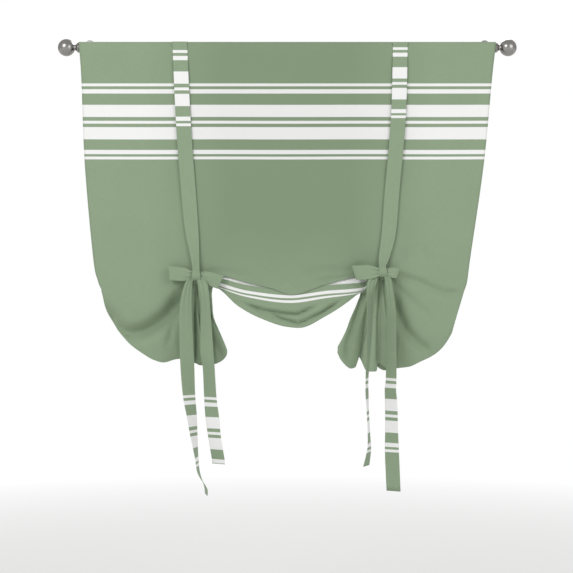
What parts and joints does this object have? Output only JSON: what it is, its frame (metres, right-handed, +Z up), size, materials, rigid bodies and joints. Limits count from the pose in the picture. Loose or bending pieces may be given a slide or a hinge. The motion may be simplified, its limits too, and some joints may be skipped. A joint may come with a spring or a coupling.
{
  "type": "tie-up curtain",
  "caption": "Tie-up curtain: a striped green panel held up by two pairs of tied straps, on a telescoping rod with ball finials and wall brackets",
  "frame": {"origin": "on the wall, midway between the two wall plates, at the height of the rod's axis", "axes": "+Z up, +X to the right as seen from the room, the room side is -Y"},
  "size_m": [1.179, 0.1485, 1.1721],
  "materials": {
    "panel_cloth": "matte woven cotton with white printed bands",
    "strap_cloth": "matte woven cotton band",
    "finial_metal": "brushed nickel",
    "rod_metal": "brushed nickel",
    "plug_plastic": "moulded",
    "screw_steel": "plated"
  },
  "bodies": {
    "carrier": {"curtain_panel": "panel_cloth", "left_front_strap": "strap_cloth", "left_back_strap": "strap_cloth", "right_front_strap": "strap_cloth", "right_back_strap": "strap_cloth", "rod_outer_tube": "rod_metal", "left_finial": "finial_metal", "left_finial_stud": "screw_steel", "left_tube_plug": "plug_plastic", "left_wall_plate": "rod_metal", "right_wall_plate": "rod_metal", "left_bracket_arm": "rod_metal", "right_bracket_arm": "rod_metal", "left_lock_screw": "screw_steel", "right_lock_screw": "screw_steel", "left_arm_screw": "screw_steel", "right_arm_screw": "screw_steel"},
    "sliding_rod": {"rod_inner_tube": "rod_metal", "right_finial": "finial_metal", "right_finial_stud": "screw_steel", "right_tube_plug": "plug_plastic"}
  },
  "joints": [
    {"name": "rod_extend", "type": "slide", "parent": "carrier", "child": "sliding_rod", "axis": [1, 0, 0], "range_m": [0, 0.151]}
  ]
}
